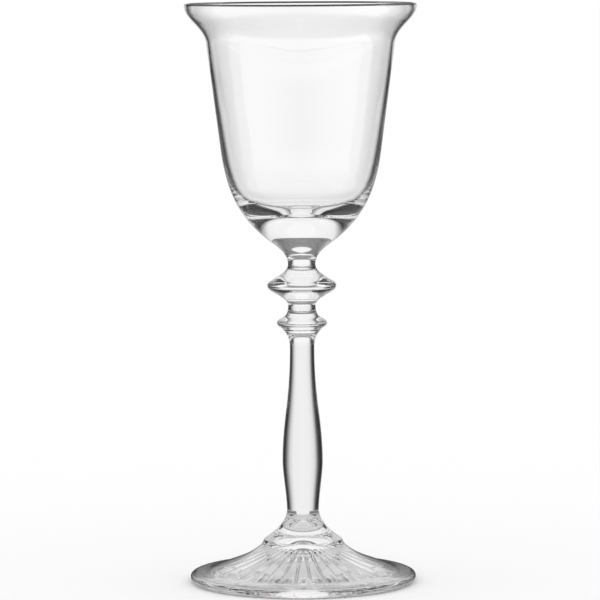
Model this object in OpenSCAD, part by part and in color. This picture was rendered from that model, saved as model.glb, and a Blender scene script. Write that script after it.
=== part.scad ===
// Cordial glass: a bell-shaped bowl on a knopped stem, with a pressed foot that is rayed underneath.
// Millimetres, +Z up, with the origin in the middle of the ring that the glass stands on.
// Every piece is a turned outline. The pieces meet at flat seams, where the hot glass was fused.

/* [Foot] */
// Radius of the foot at its widest line
foot_radius = 25.4; // [22:0.1:30]
// Height of the foot, from the table to its seam with the collar
foot_height = 8.45; // [7.5:0.05:11]
// Height of the widest line above the table
foot_edge_height = 1.05; // [0.7:0.05:1.4]
// Width of the rounded edge, from the widest line in to the sloping top
foot_edge_width = 4.65; // [3.5:0.05:6]
// Height of the top where the rounded edge ends
foot_shoulder_height = 2.8; // [2.5:0.05:3.4]
// Slope of the top where the rounded edge ends, in degrees
foot_shoulder_slope = 24; // [18:1:30]
// Slope of the top at the seam with the collar, in degrees
foot_seam_slope = 45; // [35:1:55]

/* [Underside of the foot] */
// Width of the flat ring that the glass stands on
stand_width = 0.9; // [0.6:0.1:3]
// Thickness of the glass between the top of the hollow and the seam with the collar
foot_core = 1.25; // [1:0.05:2.5]
// Slope of the hollow where it meets the flat ring, in degrees
hollow_edge_slope = 2; // [1:1:8]
// Number of rays pressed into the hollow, long and short in turn
ray_count = 34; // [20:2:36]
// Width of a ray where it is widest
ray_width = 1; // [0.5:0.05:1.1]
// Depth of a ray where it is deepest
ray_depth = 0.6; // [0.3:0.05:0.7]
// Radius of the plain middle of the hollow, where the rays start
ray_start_radius = 4.5; // [3:0.1:6]
// Plain glass left between the end of a long ray and the flat ring
ray_margin = 4; // [2:0.1:6]
// How far a short ray ends inside the end of a long one
ray_step = 3; // [1:0.1:5]

/* [Collar] */
// Radius of the seam between the foot and the collar
collar_radius = 9.25; // [8:0.05:11]
// Height of the collar between its two seams
collar_height = 7.85; // [6:0.05:10]
// Height of the steep band round the bottom of the collar
collar_band_height = 1.1; // [0.6:0.05:1.8]
// Radius that the band loses over its height
collar_band_draft = 0.5; // [0.2:0.05:0.9]
// Slope of the collar above the band, in degrees
collar_slope = 34; // [28:1:40]

/* [Shank] */
// Radius of the seam between the collar and the shank
ankle_radius = 3.6; // [3:0.05:4.2]
// Height of the shank between its two seams
shank_height = 36.75; // [28:0.25:48]
// Radius of the shank where it swells most
swell_radius = 4.55; // [4.2:0.05:5.5]
// Height of the swell above the seam with the collar
swell_height = 11; // [9:0.25:14]
// Radius of the waist, at the seam between the shank and the lower knop
waist_radius = 2.75; // [2.3:0.05:3.3]

/* [Lower knop] */
// Radius of the lower knop at its edge
lower_knop_radius = 5.6; // [4.8:0.05:6.5]
// Height of the lower knop between its two seams
lower_knop_height = 9.25; // [8:0.05:11]
// Height of its edge above its lower seam
lower_knop_edge_height = 5.35; // [4.5:0.05:6]
// Slope of its underside, in degrees
lower_knop_under_slope = 45; // [38:1:50]
// Slope of its top, in degrees
lower_knop_top_slope = 31; // [26:1:38]

/* [Upper knop] */
// Radius of the seam between the two knops
neck_radius = 3.1; // [2.6:0.05:3.6]
// Radius of the upper knop at its edge
upper_knop_radius = 7.75; // [6.5:0.05:9]
// Height of the upper knop between its two seams
upper_knop_height = 9.4; // [8:0.05:11]
// Height of its edge above its lower seam
upper_knop_edge_height = 4.65; // [4:0.05:5.4]
// Slope of its underside, in degrees
upper_knop_under_slope = 33; // [28:1:40]
// Slope of its top, in degrees
upper_knop_top_slope = 35; // [28:1:40]

/* [Bowl] */
// Radius of the seam between the upper knop and the bowl
throat_radius = 3.1; // [2.6:0.05:3.6]
// Height of the bowl from its seam to the top of the rim
bowl_height = 58.3; // [52:0.1:70]
// Radius where the bowl's solid base turns from hollow to round
flank_radius = 7.5; // [6.5:0.1:8.5]
// Height of that turn above the seam
flank_height = 5.4; // [4.5:0.1:6.5]
// Slope of the outside at that turn, in degrees
flank_slope = 37.5; // [32:0.5:43]
// Outside radius at the bottom of the straight wall
wall_bottom_radius = 18; // [16:0.1:20]
// Height of the bottom of the straight wall above the seam
wall_bottom_height = 25.75; // [23:0.25:29]
// Outside radius at the top of the straight wall
wall_top_radius = 21.1; // [20.2:0.1:23]
// Height of the flared mouth, from the straight wall to the top of the rim
flare_height = 8.7; // [7:0.1:11]
// Slope of the flare where it is widest open, in degrees
flare_slope = 47; // [42:1:55]
// Outside radius of the rim
rim_radius = 26; // [24.5:0.1:29]

/* [Inside of the bowl] */
// Thickness of the solid glass under the inside of the bowl
base_thickness = 11.3; // [10:0.1:13]
// Thickness of the wall at its bottom
wall_bottom_thickness = 0.85; // [0.7:0.05:1.4]
// Thickness of the wall at its top
wall_top_thickness = 0.55; // [0.45:0.05:0.8]
// Thickness of the flare halfway out
flare_thickness = 0.65; // [0.5:0.05:0.9]
// Thickness of the fire-polished lip
lip_thickness = 0.85; // [0.7:0.05:1.1]
// How much more the inside closes in than the outside at the bottom of the wall, in degrees
inside_lean = 2; // [0.5:0.5:4]

/* [Hidden] */

// Fineness of a turned surface, and the straight steps in a short bend, a long bend and the hollow
turn_sides = 128;
short_steps = 7;
long_steps = 14;
hollow_steps = 20;

// How far the ray cutter reaches past the surface that it cuts
cut_overrun = 0.4;

// Heights of the seams above the table
collar_z = foot_height;
shank_z = collar_z + collar_height;
lower_knop_z = shank_z + shank_height;
upper_knop_z = lower_knop_z + lower_knop_height;
bowl_z = upper_knop_z + upper_knop_height;

// The hollow under the foot, the ring round it and the ends of its rays
stand_outer = foot_radius - foot_edge_height;
stand_inner = stand_outer - stand_width;
hollow_height = foot_height - foot_core;
long_ray_end = stand_inner - ray_margin;
short_ray_end = long_ray_end - ray_step;

// How fast a ray deepens from its two ends, the shares of its depth and width that it loses on its
// way out, and the share of the turn between two rays that one may take up near the middle
ray_rise_share = 0.4;
ray_fade_share = 0.6;
ray_crowd_share = 0.8;

// How far a bend reaches along its end directions, as shares of its chord
straight_reach_share = 1 / 3;
collar_reach_share = 0.34;
ankle_reach_share = 0.26;
swell_reach_share = 0.35;
waist_reach_share = 0.465;
flank_reach_share = 0.39;
wall_reach_share = 0.37;
inside_wall_reach_share = 0.66;
inside_floor_reach_share = 0.48;
hollow_top_reach_share = 0.2;
hollow_edge_reach_share = 0.5;

// Where the slopes of the knops turn from hollow to round, and where the flare does:
// the share of the growth in radius, and the share of the height from the seam to the edge
lower_knop_under_shares = [0.575, 0.755];
lower_knop_top_shares = [0.41, 0.64];
upper_knop_under_shares = [0.485, 0.525];
upper_knop_top_shares = [0.655, 0.695];
flare_turn_shares = [0.61, 0.56];

up = 90;
across = 180;

// The unit vector at an angle
function toward(angle) = [cos(angle), sin(angle)];

// How far a round bend reaches along its end directions for the angle that it turns through
function round_reach(turn) =
    turn < 1 ? straight_reach_share : 2 * straight_reach_share * tan(turn / 4) / sin(turn / 2);

// Points of a smooth bend that leaves a at the angle from_a and arrives at b at the angle to_b
function bend(a, from_a, b, to_b, steps = short_steps, reach_a = undef, reach_b = undef) =
    let (
        chord = norm(b - a),
        natural = round_reach(abs(to_b - from_a)),
        c = a + chord * (is_undef(reach_a) ? natural : reach_a) * toward(from_a),
        d = b - chord * (is_undef(reach_b) ? natural : reach_b) * toward(to_b)
    )
    [for (i = [0 : steps])
        let (t = i / steps, s = 1 - t)
        s * s * s * a + 3 * s * s * t * c + 3 * s * t * t * d + t * t * t * b];

// The same list without its first point, to follow on from another list
function after_first(points) = [for (i = [1 : len(points) - 1]) points[i]];

// A point moved in from the outside of the wall, square to a wall that runs at an angle
function inset(point, angle, thickness) = point + thickness * toward(angle + up);

// A point part of the way from a seam to an edge
function partway(seam, edge, shares) =
    [seam[0] + shares[0] * (edge[0] - seam[0]), seam[1] + shares[1] * (edge[1] - seam[1])];

// A solid turned from an outline, standing at a height
module turned(outline, height) {
    translate([0, 0, height])
        rotate_extrude($fn = turn_sides)
            polygon(outline);
}

// A knop's outline from its lower seam, out round its edge and in to its upper seam
function knop_outline(low_radius, edge, top, under_slope, under_shares, top_slope, top_shares) =
    let (
        low = [low_radius, 0],
        under_turn = partway(low, edge, under_shares),
        top_turn = partway(top, edge, top_shares),
        under_hollow = bend(low, up, under_turn, under_slope),
        under_round = bend(under_turn, under_slope, edge, up),
        top_round = bend(edge, up, top_turn, across - top_slope),
        top_hollow = bend(top_turn, across - top_slope, top, up)
    )
    concat(
        [[0, 0]],
        under_hollow,
        after_first(under_round),
        after_first(top_round),
        after_first(top_hollow),
        [[0, top[1]]]
    );

// The outline of the hollow under the foot, from the middle out to the flat ring
hollow = bend([0, hollow_height], 0, [stand_inner, 0], -hollow_edge_slope, hollow_steps,
    hollow_top_reach_share, hollow_edge_reach_share);

// The pressed foot: a rounded edge, a sloping top and a hollow underneath
module foot_blank() {
    edge = [foot_radius, foot_edge_height];
    shoulder = [foot_radius - foot_edge_width, foot_shoulder_height];
    seam = [collar_radius, foot_height];
    top_out = across - foot_shoulder_slope;
    top_in = across - foot_seam_slope;
    outline = concat(
        hollow,
        bend([stand_outer, 0], 0, edge, up),
        after_first(bend(edge, up, shoulder, top_out)),
        after_first(bend(shoulder, top_out, seam, top_in)),
        [[0, foot_height]]
    );
    turned(outline, 0);
}

// The share of a ray's full depth and width that is left at a radius
function ray_left(radius, end_radius) =
    1 - ray_fade_share * (radius - ray_start_radius) / (end_radius - ray_start_radius);

// How deep a ray is at a radius, and below nothing where the ray has ended
function ray_depth_at(radius, end_radius) =
    max(-cut_overrun, min(ray_depth * ray_left(radius, end_radius),
        ray_rise_share * (radius - ray_start_radius), ray_rise_share * (end_radius - radius)));

// The cutter for every second ray: a turned band that follows the hollow, cut into narrow strips
module ray_cutters(first_ray, end_radius) {
    band = concat(
        [for (p = hollow) [p[0], p[1] + ray_depth_at(p[0], end_radius)]],
        [for (i = [len(hollow) - 1 : -1 : 0]) [hollow[i][0], hollow[i][1] - 2 * cut_overrun]]
    );
    crowding = ray_crowd_share * tan(across / ray_count);
    start_half = min(ray_width / 2, crowding * ray_start_radius);
    full_radius = max(ray_width / 2 / crowding, ray_start_radius + cut_overrun);
    full_half = ray_width / 2 * ray_left(full_radius, end_radius);
    end_half = ray_width / 2 * ray_left(end_radius, end_radius);
    strip = [
        [ray_start_radius, -start_half],
        [full_radius, -full_half],
        [end_radius, -end_half],
        [end_radius, end_half],
        [full_radius, full_half],
        [ray_start_radius, start_half],
    ];
    intersection() {
        turned(band, 0);
        translate([0, 0, -2 * cut_overrun])
            linear_extrude(foot_height + 2 * cut_overrun)
                for (i = [first_ray : 2 : ray_count - 1])
                    rotate(i * 2 * across / ray_count)
                        polygon(strip);
    }
}

module foot() {
    color("lightcyan")
        difference() {
            foot_blank();
            ray_cutters(0, short_ray_end);
            ray_cutters(1, long_ray_end);
        }
}

// The collar: a steep band on the foot that sweeps up into the stem
module foot_collar() {
    band_top = [collar_radius - collar_band_draft, collar_band_height];
    ankle = [ankle_radius, collar_height];
    sweep = bend(band_top, across - collar_slope, ankle, up, long_steps,
        collar_reach_share, collar_reach_share);
    color("azure")
        turned(concat([[0, 0], [collar_radius, 0]], sweep, [[0, collar_height]]), collar_z);
}

// The shank: slender at the waist, swelling towards the foot and drawn in again at the ankle
module stem_shank() {
    ankle = [ankle_radius, 0];
    swell = [swell_radius, swell_height];
    waist = [waist_radius, shank_height];
    low = bend(ankle, up, swell, up, long_steps, ankle_reach_share, ankle_reach_share);
    high = bend(swell, up, waist, up, long_steps, swell_reach_share, waist_reach_share);
    color("lightcyan")
        turned(concat([[0, 0]], low, after_first(high), [[0, shank_height]]), shank_z);
}

module lower_knop() {
    edge = [lower_knop_radius, lower_knop_edge_height];
    top = [neck_radius, lower_knop_height];
    color("azure")
        turned(knop_outline(waist_radius, edge, top, lower_knop_under_slope, lower_knop_under_shares,
            lower_knop_top_slope, lower_knop_top_shares), lower_knop_z);
}

module upper_knop() {
    edge = [upper_knop_radius, upper_knop_edge_height];
    top = [throat_radius, upper_knop_height];
    color("lightcyan")
        turned(knop_outline(neck_radius, edge, top, upper_knop_under_slope, upper_knop_under_shares,
            upper_knop_top_slope, upper_knop_top_shares), upper_knop_z);
}

// The bowl: solid below, a thin straight wall, a flared mouth and a rounded lip
module bowl() {
    throat = [throat_radius, 0];
    flank = [flank_radius, flank_height];
    wall_bottom = [wall_bottom_radius, wall_bottom_height];
    wall_top = [wall_top_radius, bowl_height - flare_height];
    wall_angle = atan2(wall_top[1] - wall_bottom[1], wall_top[0] - wall_bottom[0]);
    lip_round = lip_thickness / 2;
    lip_outside = [rim_radius, bowl_height - lip_round];
    lip_top = [rim_radius - lip_round, bowl_height];
    lip_inside = [rim_radius - lip_thickness, bowl_height - lip_round];
    flare_turn = partway(wall_top, lip_outside, flare_turn_shares);
    flare_inside = inset(flare_turn, flare_slope, flare_thickness);
    wall_top_inside = inset(wall_top, wall_angle, wall_top_thickness);
    wall_bottom_inside = inset(wall_bottom, wall_angle, wall_bottom_thickness);
    inside_angle = wall_angle - inside_lean;
    floor_middle = [0, base_thickness];

    outside = concat(
        bend(throat, up, flank, flank_slope),
        after_first(bend(flank, flank_slope, wall_bottom, wall_angle, long_steps,
            flank_reach_share, wall_reach_share)),
        bend(wall_top, wall_angle, flare_turn, flare_slope),
        after_first(bend(flare_turn, flare_slope, lip_outside, up)),
        after_first(bend(lip_outside, up, lip_top, across))
    );
    inside = concat(
        after_first(bend(lip_top, across, lip_inside, across + up)),
        after_first(bend(lip_inside, across + up, flare_inside, across + flare_slope)),
        after_first(bend(flare_inside, across + flare_slope, wall_top_inside, across + wall_angle)),
        after_first(bend(wall_top_inside, across + wall_angle, wall_bottom_inside,
            across + inside_angle)),
        after_first(bend(wall_bottom_inside, across + inside_angle, floor_middle, across, long_steps,
            inside_wall_reach_share, inside_floor_reach_share))
    );
    color("aliceblue")
        turned(concat([[0, 0]], outside, inside), bowl_z);
}

foot();
foot_collar();
stem_shank();
lower_knop();
upper_knop();
bowl();
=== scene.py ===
# Cordial glass: a bell-shaped bowl on a knopped stem, with a pressed foot that is rayed underneath.
import math

import bmesh
import bpy
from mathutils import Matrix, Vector
from mathutils.geometry import interpolate_bezier


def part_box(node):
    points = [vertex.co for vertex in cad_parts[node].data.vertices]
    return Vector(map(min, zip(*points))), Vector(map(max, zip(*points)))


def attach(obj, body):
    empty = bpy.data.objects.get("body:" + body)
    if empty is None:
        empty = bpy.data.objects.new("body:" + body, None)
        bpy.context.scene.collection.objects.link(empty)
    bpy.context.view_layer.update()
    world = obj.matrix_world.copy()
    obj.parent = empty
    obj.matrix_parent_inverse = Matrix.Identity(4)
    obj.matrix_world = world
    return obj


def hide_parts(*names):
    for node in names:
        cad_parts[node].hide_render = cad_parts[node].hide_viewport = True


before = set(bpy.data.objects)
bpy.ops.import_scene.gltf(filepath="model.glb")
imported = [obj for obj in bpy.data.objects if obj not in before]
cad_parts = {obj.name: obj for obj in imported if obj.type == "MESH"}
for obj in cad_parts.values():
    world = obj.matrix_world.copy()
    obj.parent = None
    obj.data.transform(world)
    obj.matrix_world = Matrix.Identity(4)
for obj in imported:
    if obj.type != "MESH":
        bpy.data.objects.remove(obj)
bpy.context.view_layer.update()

# Foot
# The foot is pressed soda-lime glass: a low cone with a rounded edge that stands on a flat ring.
# The mould hollows its underside and presses rays into it, long and short in turn.
MM = 0.001
UP = 90
ACROSS = 180
foot_low, foot_high = (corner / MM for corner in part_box("foot"))
foot_radius = -foot_low.x
foot_height = foot_high.z
foot_edge_height = 1.05
foot_edge_width = 4.65
foot_shoulder_height = 2.8
foot_shoulder_slope = 24
foot_seam_slope = 45
stand_width = 0.9
stand_outer = foot_radius - foot_edge_height
stand_inner = stand_outer - stand_width
foot_core = 1.25
hollow_height = foot_height - foot_core
hollow_edge_slope = 2
hollow_reaches = (0.2, 0.5)
ray_count = 34
ray_width = 1
ray_depth = 0.6
ray_rise = 0.4
ray_fade = 0.6
ray_crowding = 0.8
ray_start = 4.5
ray_margin = 4
short_ray_lack = 3
long_ray_end = stand_inner - ray_margin
short_ray_end = long_ray_end - short_ray_lack
turns_per_ray = 16
collar_radius = 9.25
nearly_straight = 0.02
merge_distance = 0.001 * MM
crease_angle = 12


def toward(angle):
    """The unit vector at an angle in degrees, as radius and height."""
    return Vector((math.cos(math.radians(angle)), math.sin(math.radians(angle))))


def bend(start, leaving, end, arriving, steps=16, reaches=None):
    """Points of a smooth bend between two points, which leaves and arrives at angles in degrees.

    The reaches are the shares of the chord that its handles take, or else those of a round arc."""
    start, end = Vector(start), Vector(end)
    chord = (end - start).length
    turn = math.radians(abs(arriving - leaving))
    arc_reach = 2 / 3 * math.tan(turn / 4) / math.sin(turn / 2) if turn > nearly_straight else 1 / 3
    start_reach, end_reach = reaches or (arc_reach, arc_reach)
    start_handle = start + chord * start_reach * toward(leaving)
    end_handle = end - chord * end_reach * toward(arriving)
    return interpolate_bezier(start, start_handle, end_handle, end, steps + 1)


def turned(outline, sectors=16, turns_per_sector=16):
    """A closed form spun from an outline in millimetres that starts and ends on the axis.

    One sector is spun and then repeated round the axis, which is quicker than one long spin."""
    form = bmesh.new()
    points = [form.verts.new((radius * MM, 0, height * MM)) for radius, height in outline]
    lines = [form.edges.new(pair) for pair in zip(points, points[1:])]
    sector = math.tau / sectors
    bmesh.ops.spin(form, geom=points + lines, axis=(0, 0, 1), cent=(0, 0, 0), angle=sector,
                   steps=turns_per_sector)
    bmesh.ops.spin(form, geom=[*form.verts, *form.edges, *form.faces], axis=(0, 0, 1), cent=(0, 0, 0),
                   angle=math.tau - sector, steps=sectors - 1, use_duplicate=True)
    bmesh.ops.remove_doubles(form, verts=form.verts, dist=merge_distance)
    bmesh.ops.recalc_face_normals(form, faces=form.faces)
    for face in form.faces:
        face.smooth = True
    for edge in form.edges:
        edge.smooth = edge.calc_face_angle() < math.radians(crease_angle)
    return form


def linear(code):
    """The linear colour, with full alpha, of an sRGB hex code."""
    shares = [int(code[i:i + 2], 16) / 255 for i in (1, 3, 5)]
    return [*(((s + 0.055) / 1.055) ** 2.4 if s > 0.04045 else s / 12.92 for s in shares), 1]


def add(tree, kind, settings=None, **sockets):
    """Adds a node with its settings, and gives each named socket a value or another node's output."""
    made = tree.nodes.new(kind)
    for name, value in (settings or {}).items():
        setattr(made, name, value)
    for name, value in sockets.items():
        plain_name = name.replace("_", " ")
        socket = next(socket for socket in made.inputs if socket.enabled and socket.name == plain_name)
        if isinstance(value, bpy.types.NodeSocket):
            tree.links.new(value, socket)
        else:
            socket.default_value = value
    return made


def new_material(name):
    """An empty node material, and its node tree."""
    made = bpy.data.materials.new(name)
    made.use_nodes = True
    made.node_tree.nodes.clear()
    return made, made.node_tree


# Clear soda-lime glass, pressed or blown and then fire-polished: colourless, with a hard bright
# surface that rolls a little where the flame and the mould have left it uneven. Where the eye meets
# it at a slant its colour is darkened with painted shade, which draws each outline dark.
glass_ior = 1.52
roll_width = 9 * MM
roll_depth = 0.02 * MM
dullest_polish = 0.015
# Painted outline shade: between these facings the glass colour darkens to this shade.
outline_shade_start = 0.72
outline_shade_end = 0.9
painted_outline_shade = "#202020"


def glass_with_painted_outline(name, colour):
    """Clear glass that passes a share of light given by a colour, darkened with painted shade at a slant.
    """
    made, tree = new_material(name)
    place = add(tree, "ShaderNodeTexCoord")
    rolls = add(tree, "ShaderNodeTexNoise", Vector=place.outputs["Object"], Scale=1 / roll_width, Detail=1)
    polish = add(tree, "ShaderNodeMapRange", Value=rolls.outputs["Fac"], To_Min=0, To_Max=dullest_polish)
    uneven = add(tree, "ShaderNodeBump", Height=rolls.outputs["Fac"], Strength=1, Distance=roll_depth)
    # Painted shade: the colour turns towards the outline shade where the surface is seen at a slant.
    slant = add(tree, "ShaderNodeLayerWeight", Blend=0.5)
    edge = add(tree, "ShaderNodeMapRange", Value=slant.outputs["Facing"], From_Min=outline_shade_start,
               From_Max=outline_shade_end)
    outline_shade_mix = add(tree, "ShaderNodeMix", {"data_type": "RGBA"}, Factor=edge.outputs["Result"],
                 A=linear(colour), B=linear(painted_outline_shade))
    colour_with_painted_outline = next(socket for socket in outline_shade_mix.outputs if socket.enabled)
    glass = add(tree, "ShaderNodeBsdfPrincipled", Base_Color=colour_with_painted_outline, IOR=glass_ior,
                Transmission_Weight=1, Roughness=polish.outputs["Result"], Normal=uneven.outputs["Normal"])
    add(tree, "ShaderNodeOutputMaterial", Surface=glass.outputs["BSDF"])
    return made


clear_glass_with_painted_outline = glass_with_painted_outline("clear_soda_lime_glass_painted_outline", "#FFFFFF")

# A fused seam: the glass of two gathers has run together, so light goes straight on through it.
fused_seam, tree = new_material("fused_glass_seam")
seam_glass = add(tree, "ShaderNodeBsdfPrincipled", Base_Color=linear("#FFFFFF"), IOR=glass_ior, Alpha=0)
add(tree, "ShaderNodeOutputMaterial", Surface=seam_glass.outputs["BSDF"])
seam_index = 1
seam_gap = 0.002
scene = bpy.context.scene


def glass_piece(name, form, *seam_heights):
    """An object of clear glass from a form, with the flat faces at the seam heights fused."""
    for face in form.faces:
        heights = [corner.co.z / MM for corner in face.verts]
        if any(seam - seam_gap < min(heights) and max(heights) < seam + seam_gap for seam in seam_heights):
            face.material_index = seam_index
    mesh = bpy.data.meshes.new(name)
    form.to_mesh(mesh)
    form.free()
    mesh.materials.append(clear_glass_with_painted_outline)
    mesh.materials.append(fused_seam)
    made = bpy.data.objects.new(name, mesh)
    scene.collection.objects.link(made)
    return made


foot_edge = (foot_radius, foot_edge_height)
foot_shoulder = (foot_radius - foot_edge_width, foot_shoulder_height)
foot_seam = (collar_radius, foot_height)
hollow = bend((0, hollow_height), 0, (stand_inner, 0), -hollow_edge_slope, steps=48, reaches=hollow_reaches)
foot_outline = [
    *hollow,
    *bend((stand_outer, 0), 0, foot_edge, UP, steps=10),
    *bend(foot_edge, UP, foot_shoulder, ACROSS - foot_shoulder_slope, steps=20)[1:],
    *bend(foot_shoulder, ACROSS - foot_shoulder_slope, foot_seam, ACROSS - foot_seam_slope, steps=20)[1:],
    (0, foot_height),
]
foot_form = turned(foot_outline, ray_count, turns_per_ray)
hollow_points = {(round(radius, 2), round(height, 2)) for radius, height in hollow}
for corner in foot_form.verts:
    radius = corner.co.xy.length / MM
    if (round(radius, 2), round(corner.co.z / MM, 2)) in hollow_points:
        turn = math.atan2(corner.co.y, corner.co.x) * ray_count / math.tau
        ray_end = long_ray_end if round(turn) % 2 else short_ray_end
        left = 1 - ray_fade * (radius - ray_start) / (ray_end - ray_start)
        depth = min(ray_depth * left, ray_rise * (radius - ray_start), ray_rise * (ray_end - radius))
        half_width = min(ray_width / 2 * left, ray_crowding * math.tan(math.pi / ray_count) * radius)
        across_ray = abs(turn - round(turn)) * math.tau / ray_count * radius
        if depth > 0 and across_ray < half_width:
            corner.co.z += depth * (1 - across_ray / half_width) * MM
foot = glass_piece("pressed_foot", foot_form, foot_height)
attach(foot, "root")
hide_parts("foot")

# Collar
# The collar is the disc of glass that joins the stem to the foot: a steep band that sweeps up and in.
# It is pressed hot on to the foot, and the flame closes the seam.
collar_low, collar_high = (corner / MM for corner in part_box("foot_collar"))
collar_band_height = 1.1
collar_band_draft = 0.5
collar_slope = 34
collar_reaches = (0.34, 0.34)
ankle_radius = 3.6
band_top = (collar_radius - collar_band_draft, collar_low.z + collar_band_height)
ankle = (ankle_radius, collar_high.z)
collar_outline = [
    (0, collar_low.z),
    (collar_radius, collar_low.z),
    *bend(band_top, ACROSS - collar_slope, ankle, UP, steps=28, reaches=collar_reaches),
    (0, collar_high.z),
]
collar = glass_piece("foot_collar_glass", turned(collar_outline), collar_low.z, collar_high.z)
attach(collar, "root")
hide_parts("foot_collar")

# Shank
# The shank is drawn from solid glass: slender at the waist, swelling towards the foot and drawn in
# again at the ankle, where it is fused to the collar.
shank_low, shank_high = (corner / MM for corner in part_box("stem_shank"))
swell_radius = shank_high.x
swell_height = 11
swell_reaches = (0.26, 0.26)
waist_radius = 2.75
waist_reaches = (0.35, 0.465)
swell = (swell_radius, shank_low.z + swell_height)
waist = (waist_radius, shank_high.z)
shank_outline = [
    (0, shank_low.z),
    *bend((ankle_radius, shank_low.z), UP, swell, UP, steps=24, reaches=swell_reaches),
    *bend(swell, UP, waist, UP, steps=32, reaches=waist_reaches)[1:],
    (0, shank_high.z),
]
shank = glass_piece("drawn_shank", turned(shank_outline), shank_low.z, shank_high.z)
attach(shank, "root")
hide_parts("stem_shank")

# Lower knop
# The smaller of the two solid knops: a disc of clear glass with a soft edge, pinched out of the hot
# stem under the bowl and fused to the shank below it.
knop_low, knop_high = (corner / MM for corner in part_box("lower_knop"))
neck_radius = 3.1
lower_edge_height = 5.35
lower_under_slope = 45
lower_under_shares = (0.575, 0.755)
lower_top_slope = 31
lower_top_shares = (0.41, 0.64)


def partway(seam, edge, shares):
    """The point at a share of the way in radius, and a share of the way in height, from seam to edge."""
    return [a + share * (b - a) for a, b, share in zip(seam, edge, shares)]


def knop_outline(low, edge, top, under_slope, under_shares, top_slope, top_shares):
    """A knop's outline from the axis, out round its edge and back in to the axis."""
    under_turn = partway(low, edge, under_shares)
    top_turn = partway(top, edge, top_shares)
    return [
        (0, low[1]),
        *bend(low, UP, under_turn, under_slope),
        *bend(under_turn, under_slope, edge, UP)[1:],
        *bend(edge, UP, top_turn, ACROSS - top_slope)[1:],
        *bend(top_turn, ACROSS - top_slope, top, UP)[1:],
        (0, top[1]),
    ]


lower_outline = knop_outline(
    (waist_radius, knop_low.z),
    (knop_high.x, knop_low.z + lower_edge_height),
    (neck_radius, knop_high.z),
    lower_under_slope, lower_under_shares, lower_top_slope, lower_top_shares,
)
lower_knop = glass_piece("small_knop", turned(lower_outline), knop_low.z, knop_high.z)
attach(lower_knop, "root")
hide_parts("lower_knop")

# Upper knop
# The larger solid knop: a disc of clear glass whose edge is drawn out wider and thinner.
# It is fused between the small knop and the bowl.
upper_low, upper_high = (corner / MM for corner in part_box("upper_knop"))
throat_radius = 3.1
upper_edge_height = 4.65
upper_under_slope = 33
upper_under_shares = (0.485, 0.525)
upper_top_slope = 35
upper_top_shares = (0.655, 0.695)
upper_outline = knop_outline(
    (neck_radius, upper_low.z),
    (upper_high.x, upper_low.z + upper_edge_height),
    (throat_radius, upper_high.z),
    upper_under_slope, upper_under_shares, upper_top_slope, upper_top_shares,
)
upper_knop = glass_piece("large_knop", turned(upper_outline), upper_low.z, upper_high.z)
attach(upper_knop, "root")
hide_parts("upper_knop")

# Bowl
# The bowl is blown: solid at its base, with a thin straight wall, a flared mouth and a lip that the
# flame has rounded and thickened a little.
bowl_low, bowl_high = (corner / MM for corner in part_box("bowl"))
rim_radius = -bowl_low.x
rim_height = bowl_high.z
flank_radius = 7.5
flank_height = 5.4
flank_slope = 37.5
belly_reaches = (0.39, 0.37)
wall_bottom_radius = 18
wall_bottom_height = 25.75
wall_top_radius = 21.1
wall_top_drop = 8.7
flare_slope = 47
flare_shares = (0.61, 0.56)
base_thickness = 11.3
wall_bottom_thickness = 0.85
wall_top_thickness = 0.55
flare_thickness = 0.65
lip_thickness = 0.85
inside_lean = 2
inside_reaches = (0.66, 0.48)
throat = (throat_radius, bowl_low.z)
flank = (flank_radius, bowl_low.z + flank_height)
wall_bottom = Vector((wall_bottom_radius, bowl_low.z + wall_bottom_height))
wall_top = Vector((wall_top_radius, rim_height - wall_top_drop))
wall_angle = math.degrees(math.atan2(wall_top.y - wall_bottom.y, wall_top.x - wall_bottom.x))
lip_round = lip_thickness / 2
lip_outside = (rim_radius, rim_height - lip_round)
lip_top = (rim_radius - lip_round, rim_height)
lip_inside = (rim_radius - lip_thickness, rim_height - lip_round)
flare_turn = Vector(partway(wall_top, lip_outside, flare_shares))
flare_inside = flare_turn + flare_thickness * toward(flare_slope + UP)
wall_top_inside = wall_top + wall_top_thickness * toward(wall_angle + UP)
wall_bottom_inside = wall_bottom + wall_bottom_thickness * toward(wall_angle + UP)
inside_angle = wall_angle - inside_lean
floor_middle = (0, bowl_low.z + base_thickness)
bowl_outline = [
    (0, bowl_low.z),
    *bend(throat, UP, flank, flank_slope),
    *bend(flank, flank_slope, wall_bottom, wall_angle, steps=40, reaches=belly_reaches)[1:],
    *bend(wall_bottom, wall_angle, wall_top, wall_angle, steps=12)[1:],
    *bend(wall_top, wall_angle, flare_turn, flare_slope)[1:],
    *bend(flare_turn, flare_slope, lip_outside, UP)[1:],
    *bend(lip_outside, UP, lip_top, ACROSS, steps=8)[1:],
    *bend(lip_top, ACROSS, lip_inside, ACROSS + UP, steps=8)[1:],
    *bend(lip_inside, ACROSS + UP, flare_inside, ACROSS + flare_slope)[1:],
    *bend(flare_inside, ACROSS + flare_slope, wall_top_inside, ACROSS + wall_angle)[1:],
    *bend(wall_top_inside, ACROSS + wall_angle, wall_bottom_inside, ACROSS + inside_angle, steps=12)[1:],
    *bend(wall_bottom_inside, ACROSS + inside_angle, floor_middle, ACROSS, steps=40,
          reaches=inside_reaches)[1:],
]
bowl = glass_piece("bell_bowl", turned(bowl_outline), bowl_low.z)

# The fire-polished lip: the bead bends light so strongly that it shows as a dark line. Its glass is
# darkened with painted shade, because the bend alone leaves the line too pale.
painted_lip_height = 0.5
painted_dark_lip_glass = glass_with_painted_outline("painted_dark_lip_material", "#484848")
bowl.data.materials.append(painted_dark_lip_glass)
painted_lip_index = bowl.data.materials.find(painted_dark_lip_glass.name)
# Painted shade: the faces in the top half millimetre of the lip take the darkened glass.
for face in bowl.data.polygons:
    if face.center.z / MM > rim_height - painted_lip_height:
        face.material_index = painted_lip_index
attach(bowl, "root")
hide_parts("bowl")

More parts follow.
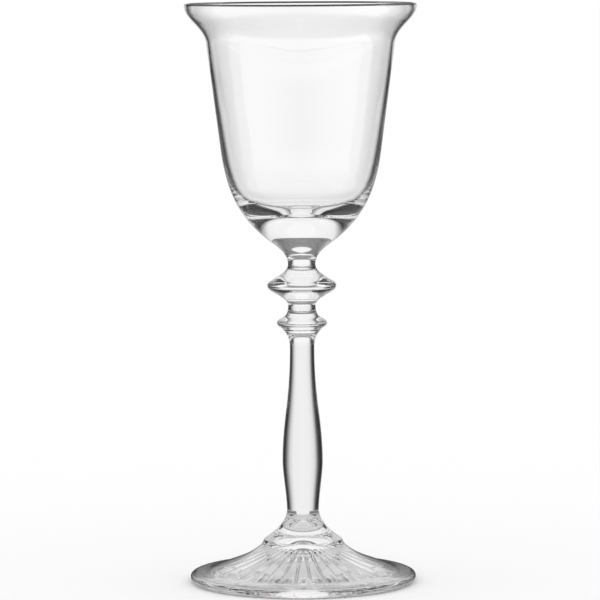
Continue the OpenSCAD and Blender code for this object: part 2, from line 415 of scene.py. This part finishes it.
# Camera
# A long lens looks from a little above the rim, and the whole glass fills the frame. Its height and
# distance are those at which the ellipses of the rim and the foot come out as in the photograph.
camera_distance = 0.871
camera_height = 0.1429
camera_pitch = 5.205
camera_roll = 0.3
camera_data = bpy.data.cameras.new("camera")
camera_data.sensor_width = 36
camera_data.lens = 234
camera = bpy.data.objects.new("camera", camera_data)
camera.location = (0, -camera_distance, camera_height)
camera.rotation_euler = (math.radians(90 - camera_pitch), math.radians(camera_roll), 0)
scene.collection.objects.link(camera)
scene.camera = camera

# Studio
# A wide white floor lies under white air, which lights it softly. The glass stands in a paper drum that
# only it sees, white behind and dark at both sides so that every edge is drawn dark. The drum turns to
# face each camera, and two low dark cards stand in it behind the foot.
floor_width = 40
floor_drop = 0.1 * MM
floor_form = bmesh.new()
bmesh.ops.create_grid(floor_form, x_segments=1, y_segments=1, size=floor_width / 2)
bmesh.ops.translate(floor_form, verts=floor_form.verts, vec=(0, 0, -floor_drop))
floor_mesh = bpy.data.meshes.new("studio_floor")
floor_form.to_mesh(floor_mesh)
floor_form.free()

# Matt white paint, on which the glass has a soft shadow. Seen through the glass it is a light grey.
floor_paint, tree = new_material("matt_white_paint")
paint = add(tree, "ShaderNodeBsdfDiffuse", Color=linear("#FFFFFF"))
seen_by = add(tree, "ShaderNodeLightPath")
through_glass = add(tree, "ShaderNodeEmission", Color=linear("#D2D2D2"))
from_glass = add(tree, "ShaderNodeMath", {"operation": "MAXIMUM"})
tree.links.new(seen_by.outputs["Is Transmission Ray"], from_glass.inputs[0])
tree.links.new(seen_by.outputs["Is Glossy Ray"], from_glass.inputs[1])
floor_look = add(tree, "ShaderNodeMixShader", Fac=from_glass.outputs["Value"])
tree.links.new(paint.outputs["BSDF"], floor_look.inputs[1])
tree.links.new(through_glass.outputs["Emission"], floor_look.inputs[2])
add(tree, "ShaderNodeOutputMaterial", Surface=floor_look.outputs["Shader"])
floor_paint.cycles.emission_sampling = "NONE"
floor_mesh.materials.append(floor_paint)
floor = bpy.data.objects.new("studio_floor", floor_mesh)
scene.collection.objects.link(floor)

scene.world = bpy.data.worlds.new("white_air")
scene.world.use_nodes = True
scene.world.node_tree.nodes.clear()
air = add(scene.world.node_tree, "ShaderNodeBackground", Color=linear("#FFFFFF"), Strength=1)
add(scene.world.node_tree, "ShaderNodeOutputWorld", Surface=air.outputs["Background"])
scene.view_settings.view_transform = "Standard"
glass_bounces = 48
scene.cycles.max_bounces = glass_bounces
scene.cycles.glossy_bounces = glass_bounces
scene.cycles.transmission_bounces = glass_bounces
scene.cycles.transparent_max_bounces = glass_bounces

# The drum runs through hoops, each with its radius, height and paints. A paint lies at a turn in degrees
# from the back, and paints blend into each other round a hoop and from hoop to hoop.
drum_turns = 180
paints_by_stem = [
    (-180, "#595959"), (-76, "#404040"), (-48, "#202020"), (-36, "#606060"), (-30, "#B4B4B4"),
    (-24, "#E6E6E6"), (-14, "#F6F6F6"), (0, "#F8F8F8"), (18, "#F6F6F6"), (26, "#E2E2E2"),
    (32, "#BCBCBC"), (38, "#8A8A8A"), (48, "#303030"), (76, "#404040"), (180, "#595959"),
]
paints_by_bowl = [
    (-180, "#A0A0A0"), (-125, "#C8C8C8"), (-92, "#C8C8C8"), (-90, "#505050"), (-70, "#404040"),
    (-44, "#505050"), (-33, "#303030"), (-28, "#A8A8A8"), (-23, "#F6F6F6"), (-14, "#FFFFFF"),
    (14, "#FFFFFF"), (23, "#FAFAFA"), (28, "#BCBCBC"), (34, "#383838"), (46, "#505050"),
    (70, "#404040"), (90, "#505050"), (92, "#F0F0F0"), (125, "#F0F0F0"), (180, "#A0A0A0"),
]
paints_overhead = [
    (-180, "#FFFFFF"), (-60, "#FFFFFF"), (-30, "#606060"), (-15, "#8C8C8C"),
    (15, "#8C8C8C"), (30, "#606060"), (60, "#FFFFFF"), (180, "#FFFFFF"),
]
paints_on_roof = [(-180, "#969696"), (180, "#969696")]
drum_floor_inside = 26.5
drum_floor_height = 0.5
drum_radius = 80
stem_paints_top = 55
bowl_paints_bottom = 70
ledge_height = 110
ledge_radius = 250
bowl_paints_top = 165
overhead_paints_bottom = 185
roof_height = 350
roof_paints_radius = 150
roof_hole = 5
drum_hoops = [
    (drum_floor_inside, drum_floor_height, paints_by_stem),
    (drum_radius, drum_floor_height, paints_by_stem),
    (drum_radius, stem_paints_top, paints_by_stem),
    (drum_radius, bowl_paints_bottom, paints_by_bowl),
    (drum_radius, ledge_height, paints_by_bowl),
    (ledge_radius, ledge_height, paints_by_bowl),
    (ledge_radius, bowl_paints_top, paints_by_bowl),
    (ledge_radius, overhead_paints_bottom, paints_overhead),
    (ledge_radius, roof_height, paints_overhead),
    (roof_paints_radius, roof_height, paints_on_roof),
    (roof_hole, roof_height, paints_on_roof),
]
card_radius = 28
card_bottom = 1
card_top = 10
card_near = 15
card_far = 90
card_turns = 32
card_hoops = [
    (card_radius, card_bottom, [(-180, "#181818"), (180, "#181818")]),
    (card_radius, card_top, [(-180, "#B4B4B4"), (180, "#B4B4B4")]),
]


def shade_at(turn, paints):
    """The shade, at a turn in degrees from the back, of paints that blend into each other."""
    for (first, paint), (last, next_paint) in zip(paints, paints[1:]):
        if first <= turn <= last:
            share = (turn - first) / (last - first)
            return (1 - share) * linear(paint)[0] + share * linear(next_paint)[0]


def spin_hoops(form, hoops, start, angle, **options):
    """Spins paper through hoops, from a turn in degrees and through an angle in degrees."""
    aside = math.sin(math.radians(start)) * MM
    back = math.cos(math.radians(start)) * MM
    points = [form.verts.new((aside * radius, back * radius, height * MM)) for radius, height, _ in hoops]
    lines = [form.edges.new(pair) for pair in zip(points, points[1:])]
    bmesh.ops.spin(form, geom=points + lines, axis=(0, 0, 1), cent=(0, 0, 0),
                   angle=-math.radians(angle), **options)


drum_form = bmesh.new()
spin_hoops(drum_form, drum_hoops, 0, 360, steps=drum_turns, use_merge=True)
for side in (1, -1):
    spin_hoops(drum_form, card_hoops, side * card_near, side * (card_far - card_near), steps=card_turns)
paints_at = {(radius, height): paints for radius, height, paints in drum_hoops + card_hoops}
drum_shade = drum_form.verts.layers.float_color.new("shade")
for corner in drum_form.verts:
    turn = math.degrees(math.atan2(corner.co.x, corner.co.y))
    shade = shade_at(turn, paints_at[round(corner.co.xy.length / MM, 1), round(corner.co.z / MM, 1)])
    corner[drum_shade] = (shade, shade, shade, 1)
drum_mesh = bpy.data.meshes.new("studio_drum")
drum_form.to_mesh(drum_mesh)
drum_form.free()

# Lit paper, which glows in its painted shades whatever light falls on it.
drum_paper, tree = new_material("shaded_studio_paper")
shades = add(tree, "ShaderNodeAttribute", {"attribute_name": "shade"})
paper = add(tree, "ShaderNodeEmission", Color=shades.outputs["Color"])
add(tree, "ShaderNodeOutputMaterial", Surface=paper.outputs["Emission"])
drum_paper.cycles.emission_sampling = "NONE"
drum_mesh.materials.append(drum_paper)
drum = bpy.data.objects.new("studio_drum", drum_mesh)
scene.collection.objects.link(drum)
drum.visible_camera = False
drum.visible_diffuse = False
drum.visible_shadow = False
facing = drum.constraints.new("LOCKED_TRACK")
facing.target = camera
facing.track_axis = "TRACK_NEGATIVE_Y"
facing.lock_axis = "LOCK_Z"
